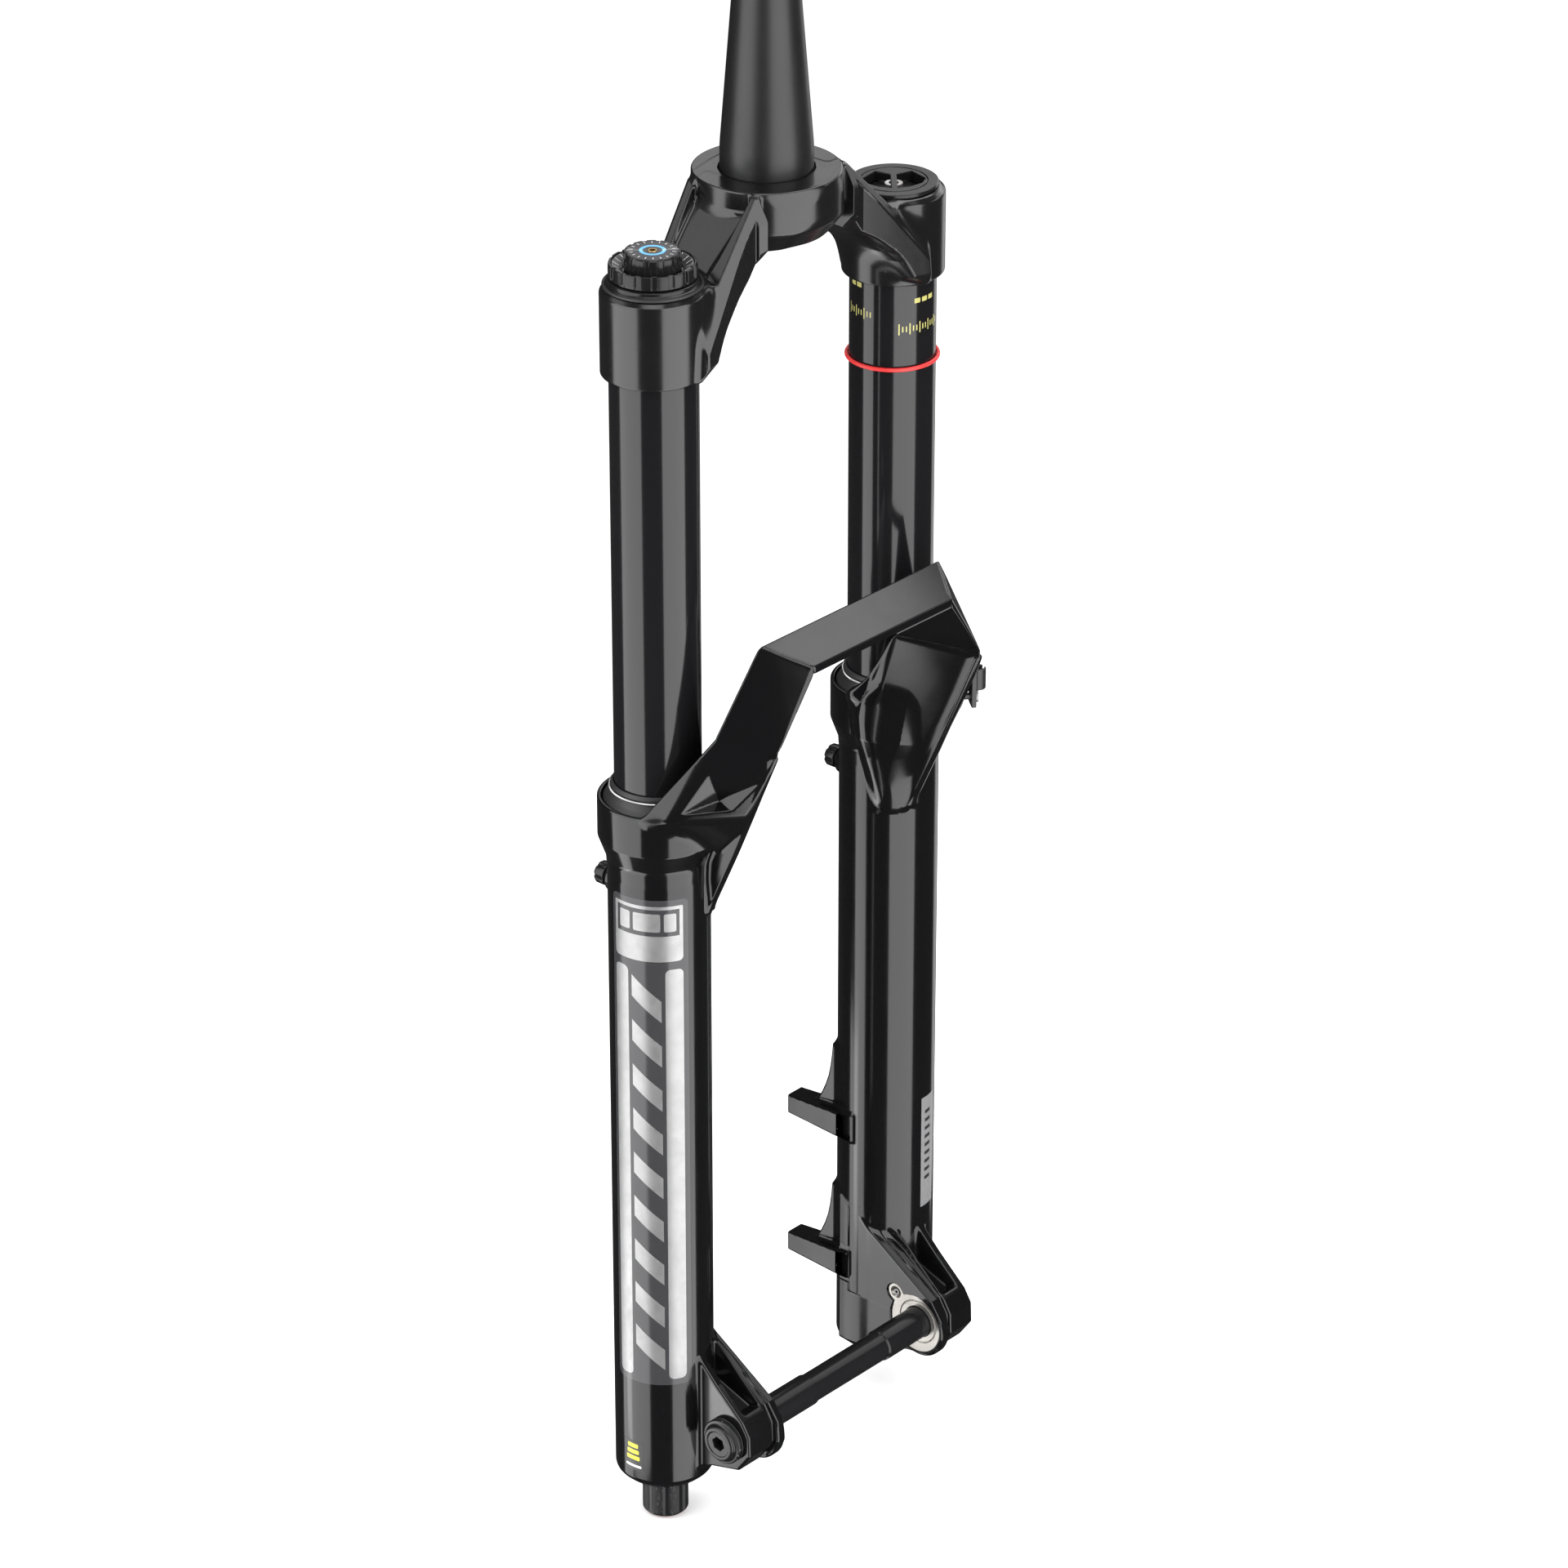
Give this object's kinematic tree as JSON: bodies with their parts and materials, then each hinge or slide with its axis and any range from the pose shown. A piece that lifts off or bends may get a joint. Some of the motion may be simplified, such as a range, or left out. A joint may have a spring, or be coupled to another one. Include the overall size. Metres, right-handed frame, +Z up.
{
  "type": "suspension fork",
  "caption": "Single-crown air-sprung suspension fork for a 29 inch trail bicycle, gloss black, with tapered steerer, arched lower casting, through axle and brake posts.",
  "frame": {"origin": "centre of the crown race seat, on the steerer axis", "axes": "+Z up the steerer, -Y towards the front of the bicycle, -X the damper leg, +X the air spring and brake leg"},
  "size_m": [0.206, 0.1035, 0.8294],
  "materials": {
    "casting_gloss": "gloss",
    "crown_satin": "satin",
    "steerer_satin": "satin",
    "stanchion_gloss": "gloss",
    "anodised_black": "satin",
    "anodised_grey": "satin",
    "bare_aluminium": "satin",
    "tick_ring_silver": "brushed",
    "ground_shaft": "polished",
    "spring_steel": "bright",
    "black_steel": "black oxide",
    "brass": "bright",
    "copper": "soft",
    "bushing_bronze": "sintered",
    "seal_rubber": "matte",
    "sag_rubber": "matte",
    "foam": "open cell",
    "glide_plastic": "matte",
    "spacer_plastic": "gloss",
    "guide_plastic": "matte",
    "red_anodised": "satin"
  },
  "bodies": {
    "upper_unit": {"crown": "crown_satin", "steerer_tube": "steerer_satin", "damper_stanchion": "stanchion_gloss", "air_stanchion": "stanchion_gloss", "damper_top_cap": "anodised_black", "damper_cap_oring": "seal_rubber", "air_top_cap": "anodised_black", "air_valve_body": "bare_aluminium", "air_valve_core": "brass", "volume_spacers": "spacer_plastic", "damper_tube": "bare_aluminium", "compression_piston": "bare_aluminium", "compression_rod": "ground_shaft", "floating_piston": "bare_aluminium", "damper_seal_head": "anodised_grey", "air_seal_head": "anodised_grey", "seal_head_circlips": "spring_steel"},
    "high_speed_dial": {"high_speed_knob": "anodised_black", "high_speed_dial_ring": "tick_ring_silver"},
    "low_speed_dial": {"low_speed_knob": "anodised_black", "low_speed_dial_insert": "anodised_grey", "low_speed_centre_screw": "brass"},
    "air_valve_cover": {"air_cap": "anodised_black", "air_cap_oring": "seal_rubber"},
    "travel_ring": {"sag_ring": "sag_rubber"},
    "lower_unit": {"lower_casting": "casting_gloss", "wiper_seals": "seal_rubber", "garter_springs": "spring_steel", "foam_rings": "foam", "upper_bushings": "bushing_bronze", "lower_bushings": "bushing_bronze", "air_shaft": "ground_shaft", "air_piston": "anodised_grey", "air_piston_seal": "seal_rubber", "top_out_bumper": "seal_rubber", "damper_shaft": "ground_shaft", "rebound_piston": "brass", "rebound_glide_ring": "glide_plastic", "bottom_out_bumper": "seal_rubber", "air_foot_bolt": "black_steel", "damper_foot_nut": "black_steel", "crush_washers": "copper", "axle_insert": "bare_aluminium", "insert_screw": "black_steel", "relief_springs": "spring_steel", "hose_guide": "guide_plastic", "hose_guide_screw": "black_steel"},
    "wheel_axle": {"axle": "anodised_black"},
    "rebound_dial": {"rebound_knob": "anodised_black", "rebound_rod": "spring_steel", "rebound_knob_ring": "red_anodised"},
    "relief_valve_damper": {"relief_button_damper": "anodised_black"},
    "relief_valve_air": {"relief_button_air": "anodised_black"}
  },
  "joints": [
    {"name": "lowers_travel", "type": "slide", "parent": "upper_unit", "child": "lower_unit", "axis": [0, 0, 1], "range_m": [0, 0.17], "stiffness_N_per_m": 5000, "springref_m": -0.012},
    {"name": "high_speed_turn", "type": "hinge", "parent": "upper_unit", "child": "high_speed_dial", "pos_m": [-0.0765, -0.005, -0.023], "axis": [0, 0, 1], "range_deg": [-60, 60]},
    {"name": "low_speed_turn", "type": "hinge", "parent": "upper_unit", "child": "low_speed_dial", "pos_m": [-0.0765, -0.005, -0.018], "axis": [0, 0, 1], "range_deg": [-160, 160]},
    {"name": "air_cover_lift", "type": "slide", "parent": "upper_unit", "child": "air_valve_cover", "axis": [0, 0, 1], "range_m": [0, 0.03]},
    {"name": "travel_ring_slide", "type": "slide", "parent": "upper_unit", "child": "travel_ring", "axis": [0, 0, 1], "range_m": [0, 0.0275]},
    {"name": "axle_draw", "type": "slide", "parent": "lower_unit", "child": "wheel_axle", "axis": [-1, 0, 0], "range_m": [0, 0.16]},
    {"name": "rebound_turn", "type": "hinge", "parent": "lower_unit", "child": "rebound_dial", "pos_m": [-0.0765, -0.005, -0.62], "axis": [0, 0, 1], "range_deg": [-170, 170]},
    {"name": "relief_press_damper", "type": "slide", "parent": "lower_unit", "child": "relief_valve_damper", "axis": [0, -1, 0], "range_m": [0, 0.0014], "stiffness_N_per_m": 1500, "springref_m": -0.001},
    {"name": "relief_press_air", "type": "slide", "parent": "lower_unit", "child": "relief_valve_air", "axis": [0, -1, 0], "range_m": [0, 0.0014], "stiffness_N_per_m": 1500, "springref_m": -0.001}
  ],
  "couplings": [
    {"joint": "travel_ring_slide", "follows": "lowers_travel", "ratio": 0.159}
  ]
}
